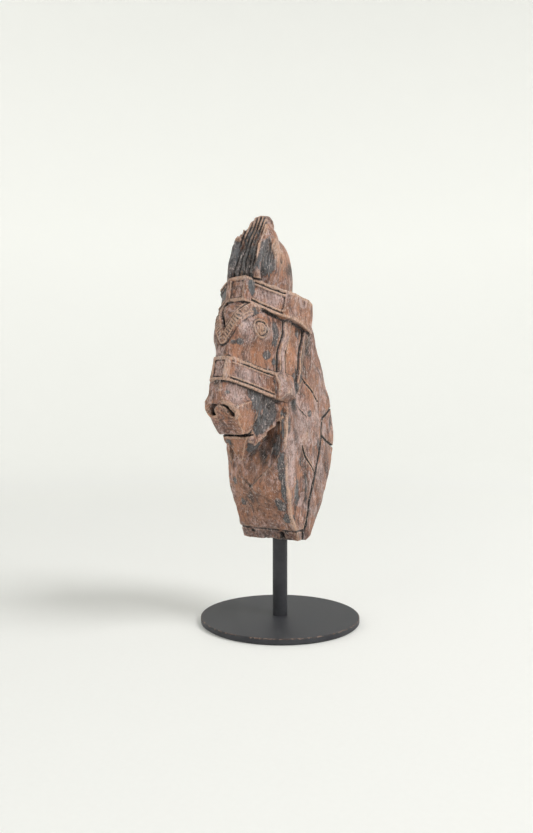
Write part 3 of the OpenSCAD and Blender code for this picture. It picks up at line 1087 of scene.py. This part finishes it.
def carved_wood(colours):
    """Old hardwood with a rubbed patina, worn edges, and dark paint left in the hollows, with painted shade
    in hollows and creases and painted highlights and sheen on ridges, grain and the lit side.
    """
    p = OldWood(colours)
    kept = p.paint_left()
    paint = p.ramp(kept, 0.44, 0.54)
    wood = p.rubbed(p.toned(p.grain_colour()))
    colour = p.shaded_and_soiled(p.painted(wood, kept, paint))
    rough = p.plus(0.29, p.times(p.ramp(p.fine, 0.3, 0.7), 0.26))
    return p.done(
        colour, rough, p.relief(paint), Specular_IOR_Level=0.6, Coat_Weight=0.25, Coat_Roughness=0.28
    )


def black_steel(colours, plate_radius, plate_top):
    """Matt black paint over steel, chipped to bare metal and rust along the plate's rim."""
    p = Finish("black_steel")
    cloud = p.noise(p.scaled((45, 45, 45)), 5.0, 0.6)
    grit = p.noise(p.scaled((1700, 1700, 1700)), 3.0, 0.7)
    chip_shape = p.noise(p.scaled((420, 420, 620)), 5.0, 0.75, 0.5)
    radius, height = p.axis_distance()
    near_rim = p.ramp(p.minus(radius, plate_radius - 0.0012), -0.0016, 0.0012)
    from_corner = p.math("ABSOLUTE", p.minus(height, plate_top))
    chance = p.times(near_rim, p.minus(1.0, p.ramp(from_corner, 0.0002, 0.0022)))
    likely = p.ramp(chance, 0.15, 0.5)
    damage = p.plus(chip_shape, p.times(chance, 0.22))
    chips = p.times(p.ramp(damage, 0.735, 0.79), likely)
    halo = p.times(p.ramp(damage, 0.70, 0.75), likely)
    colour = p.mix(p.ramp(cloud, 0.3, 0.75), colours.black_paint, colours.black_paint_faded)
    colour = p.mix(p.times(p.ramp(grit, 0.60, 0.78), 0.25), colour, colours.steel_dust)
    colour = p.mix(p.times(halo, 0.5), colour, colours.rust)
    colour = p.mix(chips, colour, p.mix(p.ramp(grit, 0.35, 0.65), colours.rust, colours.steel_dust))
    rough = p.plus(0.42, p.times(cloud, 0.22))
    relief = p.minus(p.times(grit, 0.5), chips)
    return p.done(colour, rough, p.bump(relief, 0.00018, 0.6), Specular_IOR_Level=0.38)


def bright_steel(colours):
    """Turned steel with fine rings and a few dull spots."""
    p = Finish("bright_steel")
    rings = p.noise(p.scaled((120, 120, 6500)), 3.0, 0.6)
    blotch = p.noise(p.scaled((300, 300, 300)), 4.0, 0.6)
    colour = p.mix(p.ramp(blotch, 0.4, 0.75), colours.bare_steel, colours.steel_dull)
    rough = p.plus(0.24, p.times(p.ramp(blotch, 0.35, 0.75), 0.3))
    return p.done(colour, rough, p.bump(rings, 0.00006, 0.5), Metallic=1.0)


def pressed_felt(colours):
    """Black felt: fine fuzz with softer tufts."""
    p = Finish("felt")
    fuzz = p.noise(p.scaled((2600, 2600, 2600)), 5.0, 0.8, 1.5)
    tufts = p.noise(p.scaled((240, 240, 240)), 4.0, 0.6)
    colour = p.mix(p.ramp(fuzz, 0.3, 0.7), colours.felt_dark, colours.felt_light)
    colour = p.mix(p.times(tufts, 0.35), colour, colours.felt_dark)
    return p.done(colour, 0.95, p.bump(fuzz, 0.0004, 0.8), Sheen_Weight=0.3)


def peg_wood(colours):
    """Whittled pegs: pale straight grain along the peg."""
    p = Finish("peg_wood")
    fibre = p.noise(p.scaled((900, 60, 900)), 5.0, 0.6, 0.3)
    blotch = p.noise(p.scaled((160, 90, 160)), 3.0, 0.5)
    colour = p.mix(p.ramp(fibre, 0.3, 0.7), colours.peg_dark, colours.peg_light)
    colour = p.mix(p.times(p.ramp(blotch, 0.5, 0.7), 0.4), colour, colours.peg_dark)
    return p.done(colour, p.plus(0.55, p.times(fibre, 0.2)), p.bump(fibre, 0.0003, 0.6))


def seamless_paper(colours):
    """A pale studio sweep; far from the middle it gives off the light that the lamps don't bring there."""
    p = Finish("seamless_paper")
    tooth = p.noise(p.scaled((260, 260, 260)), 3.0, 0.6)
    colour = p.mix(tooth, colours.paper, colours.paper_light)
    radius, _ = p.axis_distance()
    far = p.times(p.ramp(radius, 0.25, SWEEP_FLOOR), colours.far_glow)
    p.put(p.shader.inputs["Emission Strength"], p.plus(far, colours.glow))
    return p.done(
        colour, 0.9, p.bump(tooth, 0.0002, 0.2), Specular_IOR_Level=0.1, Emission_Color=colours.paper_glow
    )


# ---------------------------------------------------------------- settings


def colour(name, description, value):
    """A colour setting, without transparency."""
    return bpy.props.FloatVectorProperty(
        name=name, description=description, subtype="COLOR", size=4, min=0.0, max=1.0, default=(*value, 1.0)
    )


class HorseColours(bpy.types.PropertyGroup):
    dark_wood: colour("Dark wood", "Dark bands of the grain", (0.085, 0.036, 0.026))
    red_wood: colour("Red wood", "Reddish-brown body of the wood", (0.39, 0.17, 0.105))
    # also a painted sheen on the lit side
    pink_patina_and_sheen: colour("Patina", "Pale pinkish patina of handled wood", (0.66, 0.47, 0.44))
    # also painted glints and sheen on the grain
    dust_and_sheen: colour("Dust", "Pale dust and scratches on the wood", (0.70, 0.57, 0.53))
    orange_wood: colour("Orange wood", "Warm wood where the paint wore off last", (0.54, 0.225, 0.105))
    # also the painted highlight along ridges
    worn_edge_and_highlight: colour("Worn edges", "Bare wood along rubbed edges", (0.74, 0.48, 0.34))
    dark_paint: colour("Old paint", "Blue-black paint left on the wood", (0.022, 0.028, 0.034))
    grey_paint: colour("Faded paint", "The same paint where it has gone grey", (0.20, 0.215, 0.23))
    # also the painted shade in hollows, creases, seams and under the jaw
    grime_and_shade: colour("Grime", "Dirt in cuts and pores", (0.016, 0.009, 0.007))
    black_paint: colour("Stand paint", "Matt black paint of the stand", (0.021, 0.0215, 0.027))
    black_paint_faded: colour("Faded stand paint", "Stand paint where it is rubbed", (0.042, 0.043, 0.050))
    steel_dust: colour("Chips", "Bare metal and dust on the stand", (0.32, 0.30, 0.28))
    rust: colour("Rust", "Rust round the chips", (0.19, 0.075, 0.03))
    bare_steel: colour("Bare steel", "Turned steel of pin, plug and screw", (0.56, 0.57, 0.58))
    steel_dull: colour("Dull steel", "Oxidised spots on the turned steel", (0.30, 0.30, 0.31))
    felt_dark: colour("Felt", "Shadow colour of the felt liner", (0.012, 0.012, 0.014))
    felt_light: colour("Felt fibres", "Light fibres of the felt liner", (0.05, 0.05, 0.055))
    peg_dark: colour("Peg grain", "Dark grain of the pegs", (0.25, 0.13, 0.06))
    peg_light: colour("Peg wood", "Pale wood of the pegs", (0.50, 0.31, 0.16))
    paper: colour("Backdrop", "Studio sweep", (0.80, 0.80, 0.778))
    paper_light: colour("Backdrop tooth", "Lighter tooth of the studio sweep", (0.83, 0.83, 0.808))
    paper_glow: colour("Backdrop glow", "Colour of the light that the sweep gives off", (0.95, 0.96, 0.92))
    glow: bpy.props.FloatProperty(
        name="Glow", description="Strength of the sweep's own light", default=0.135, min=0.0, max=2.0
    )
    far_glow: bpy.props.FloatProperty(
        name="Far glow", description="What the sweep's own light gains towards its wall",
        default=0.135, min=0.0, max=2.0,
    )


class HorseSizes(bpy.types.PropertyGroup):
    block_cell: bpy.props.FloatProperty(
        name="Block detail", description="Grid size of the carved block, in millimetres",
        default=0.95, min=0.8, max=4.0,
    )
    slab_cell: bpy.props.FloatProperty(
        name="Slab detail", description="Grid size of the two let-in pieces, in millimetres",
        default=1.0, min=0.8, max=4.0,
    )


class HorseStudio(bpy.types.PropertyGroup):
    azimuth: bpy.props.FloatProperty(
        name="View angle", description="How far the camera stands round towards the horse's left side",
        default=math.radians(35.0), subtype="ANGLE", unit="ROTATION",
    )
    distance: bpy.props.FloatProperty(
        name="Distance", description="From the camera to the post, measured along the view",
        default=0.675, subtype="DISTANCE", unit="LENGTH",
    )
    eye_height: bpy.props.FloatProperty(
        name="Eye height", description="Height of the level camera above the ground",
        default=0.1943, subtype="DISTANCE", unit="LENGTH",
    )
    aside: bpy.props.FloatProperty(
        name="Aside", description="How far the post stands to the right of the camera's middle line",
        default=0.01285, subtype="DISTANCE", unit="LENGTH",
    )
    lens: bpy.props.FloatProperty(
        name="Lens", description="Focal length in millimetres on a 36 mm sensor",
        default=30.64, subtype="DISTANCE_CAMERA",
    )
    key_power: bpy.props.FloatProperty(
        name="Key light", description="Power of the large soft light on the right",
        default=49.0, min=0.0, unit="POWER",
    )
    fill_power: bpy.props.FloatProperty(
        name="Fill light", description="Power of the soft light on the left",
        default=2.4, min=0.0, unit="POWER",
    )
    sky: bpy.props.FloatProperty(
        name="Sky", description="Strength of the light from all round", default=0.22, min=0.0,
    )


made_materials = {}


def settings():
    """The colours, the sizes and the studio that the sidebar shows."""
    scene = bpy.context.scene
    return scene.horse_colours, scene.horse_sizes, scene.horse_studio


def material(maker, *values):
    """A material is made once, the first time that a piece needs it."""
    if maker not in made_materials:
        colours, _, _ = settings()
        made_materials[maker] = maker(colours, *values)
    return made_materials[maker]


def dress(node, finish):
    """Gives a CAD node its finish."""
    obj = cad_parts[node]
    obj.data.materials.clear()
    obj.data.materials.append(finish)


# ---------------------------------------------------------------- the stage
# Lengths here are in metres, as the scene is.

SWEEP_FLOOR, SWEEP_CURVE, SWEEP_WALL = 2.4, 1.2, 4.0  # radius of the floor, of the curve; wall's height
SWEEP_STEPS, SWEEP_SIDES = 16, 96
LAMP_TARGET = Vector((0.0, 0.0, 0.2))
SKY_COLOUR = (1.0, 1.0, 0.985, 1.0)


def sweep_profile():
    """Half section of a round studio sweep, without its middle: flat floor, curve, upright wall."""
    points = [(SWEEP_FLOOR * 0.3, 0.0), (SWEEP_FLOOR, 0.0)]
    for i in range(1, SWEEP_STEPS + 1):
        a = math.pi / 2 * i / SWEEP_STEPS
        points.append((SWEEP_FLOOR + SWEEP_CURVE * math.sin(a), SWEEP_CURVE * (1.0 - math.cos(a))))
    return points + [(SWEEP_FLOOR + SWEEP_CURVE, SWEEP_WALL)]


def make_sweep():
    """A round floor that curves up into a wall all round."""
    shape = bmesh.new()
    turns = np.linspace(0, math.tau, SWEEP_SIDES, False)
    rings = [
        [shape.verts.new((r * math.cos(t), r * math.sin(t), z)) for t in turns] for r, z in sweep_profile()
    ]
    middle = shape.verts.new((0.0, 0.0, 0.0))
    for i in range(SWEEP_SIDES):
        j = (i + 1) % SWEEP_SIDES
        shape.faces.new((middle, rings[0][i], rings[0][j]))
        for low, high in zip(rings, rings[1:]):
            shape.faces.new((low[i], high[i], high[j], low[j]))
    shape.normal_update()
    mesh = bpy.data.meshes.new("studio_sweep")
    shape.to_mesh(mesh)
    shape.free()
    mesh.polygons.foreach_set("use_smooth", [True] * len(mesh.polygons))
    mesh.materials.append(material(seamless_paper))
    sweep = bpy.data.objects.new("studio_sweep", mesh)
    bpy.context.scene.collection.objects.link(sweep)


def make_camera(studio, right, near):
    """A level camera; the post stands a little to the right of its middle line."""
    camera = bpy.data.objects.new("camera", bpy.data.cameras.new("camera"))
    camera.data.lens = studio.lens
    camera.data.sensor_width = 36.0
    camera.data.clip_start = 0.01
    camera.location = near * studio.distance - right * studio.aside
    camera.location.z = studio.eye_height
    camera.rotation_euler = (math.pi / 2, 0.0, studio.azimuth)
    bpy.context.scene.collection.objects.link(camera)
    bpy.context.scene.camera = camera


def make_lamp(name, place, size, power):
    """A round soft light that points at the object."""
    lamp = bpy.data.lights.new(name, "AREA")
    lamp.shape = "DISK"
    lamp.size = size
    lamp.energy = power
    light = bpy.data.objects.new(name, lamp)
    light.location = place
    light.rotation_euler = (LAMP_TARGET - light.location).to_track_quat("-Z", "Y").to_euler()
    bpy.context.scene.collection.objects.link(light)


def make_air(strength):
    """Even pale light from all round."""
    world = bpy.data.worlds.new("studio_air")
    world.use_nodes = True
    sky = world.node_tree.nodes["Background"]
    sky.inputs["Color"].default_value = SKY_COLOUR
    sky.inputs["Strength"].default_value = strength
    bpy.context.scene.world = world


# ---------------------------------------------------------------- operators


class HORSE_OT_stand(bpy.types.Operator):
    """Finish the stand: plate, post, felt liner, plug, screw and pin"""

    bl_idname = "horse.stand"
    bl_label = "Finish stand"

    def execute(self, context):
        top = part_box("base_plate")[1]
        for node in ("base_plate", "post_tube"):
            dress(node, material(black_steel, top.x, top.z))
        for node in ("base_screw", "post_plug", "spigot_pin"):
            dress(node, material(bright_steel))
        dress("base_felt", material(pressed_felt))
        return {"FINISHED"}


class HORSE_OT_block(bpy.types.Operator):
    """Carve the main block: neck, head, bridle bands, ears and forelock"""

    bl_idname = "horse.block"
    bl_label = "Carve head block"

    def execute(self, context):
        _, sizes, _ = settings()
        carve("carved_head", block_shape, "head_block", sizes.block_cell, material(carved_wood))
        return {"FINISHED"}


class HORSE_OT_slab(bpy.types.Operator):
    """Carve the two pieces of wood that are let into the back of the neck"""

    bl_idname = "horse.slab"
    bl_label = "Carve let-in pieces"

    def execute(self, context):
        _, sizes, _ = settings()
        carve("carved_slab", slab_shape, "rear_slab", sizes.slab_cell, material(carved_wood))
        carve("carved_wedge", wedge_shape, "rear_wedge", sizes.slab_cell, material(carved_wood))
        return {"FINISHED"}


class HORSE_OT_pegs(bpy.types.Operator):
    """Finish the pegs that hold the let-in pieces"""

    bl_idname = "horse.pegs"
    bl_label = "Finish pegs"

    def execute(self, context):
        for node in ("slab_dowel_1", "slab_dowel_2", "slab_dowel_3", "wedge_dowel"):
            dress(node, material(peg_wood))
        return {"FINISHED"}


class HORSE_OT_stage(bpy.types.Operator):
    """Set up the round pale sweep, the soft lights and the camera"""

    bl_idname = "horse.stage"
    bl_label = "Set stage"

    def execute(self, context):
        _, _, studio = settings()
        turn = studio.azimuth
        right = Vector((math.cos(turn), math.sin(turn), 0.0))
        near = Vector((math.sin(turn), -math.cos(turn), 0.0))
        up = Vector((0.0, 0.0, 1.0))
        make_sweep()
        make_camera(studio, right, near)
        make_lamp("key_light", right * 1.8 + near * 0.95 + up * 2.3, 1.3, studio.key_power)
        make_lamp("fill_light", right * -1.5 + near * 1.7 + up * 1.7, 1.0, studio.fill_power)
        make_air(studio.sky)
        context.scene.view_settings.view_transform = "Standard"
        return {"FINISHED"}


class HORSE_PT_panel(bpy.types.Panel):
    """Lists the steps in the 3D view's sidebar"""

    bl_idname = "HORSE_PT_panel"
    bl_label = "Carved Horse Head"
    bl_space_type = "VIEW_3D"
    bl_region_type = "UI"
    bl_category = "Horse Head"

    def draw(self, context):
        layout = self.layout
        for operator in OPERATORS:
            layout.operator(operator.bl_idname)
        for group in settings():
            box = layout.box()
            for name in group.__annotations__:
                box.prop(group, name)


OPERATORS = (HORSE_OT_stand, HORSE_OT_block, HORSE_OT_slab, HORSE_OT_pegs, HORSE_OT_stage)
CLASSES = (HorseColours, HorseSizes, HorseStudio, *OPERATORS, HORSE_PT_panel)


def register():
    for cls in CLASSES:
        bpy.utils.register_class(cls)
    bpy.types.Scene.horse_colours = bpy.props.PointerProperty(type=HorseColours)
    bpy.types.Scene.horse_sizes = bpy.props.PointerProperty(type=HorseSizes)
    bpy.types.Scene.horse_studio = bpy.props.PointerProperty(type=HorseStudio)


def unregister():
    del bpy.types.Scene.horse_studio
    del bpy.types.Scene.horse_sizes
    del bpy.types.Scene.horse_colours
    for cls in reversed(CLASSES):
        bpy.utils.unregister_class(cls)


def main():
    register()
    bpy.ops.horse.stand()
    bpy.ops.horse.block()
    bpy.ops.horse.slab()
    bpy.ops.horse.pegs()
    bpy.ops.horse.stage()


if __name__ == "__main__":
    main()
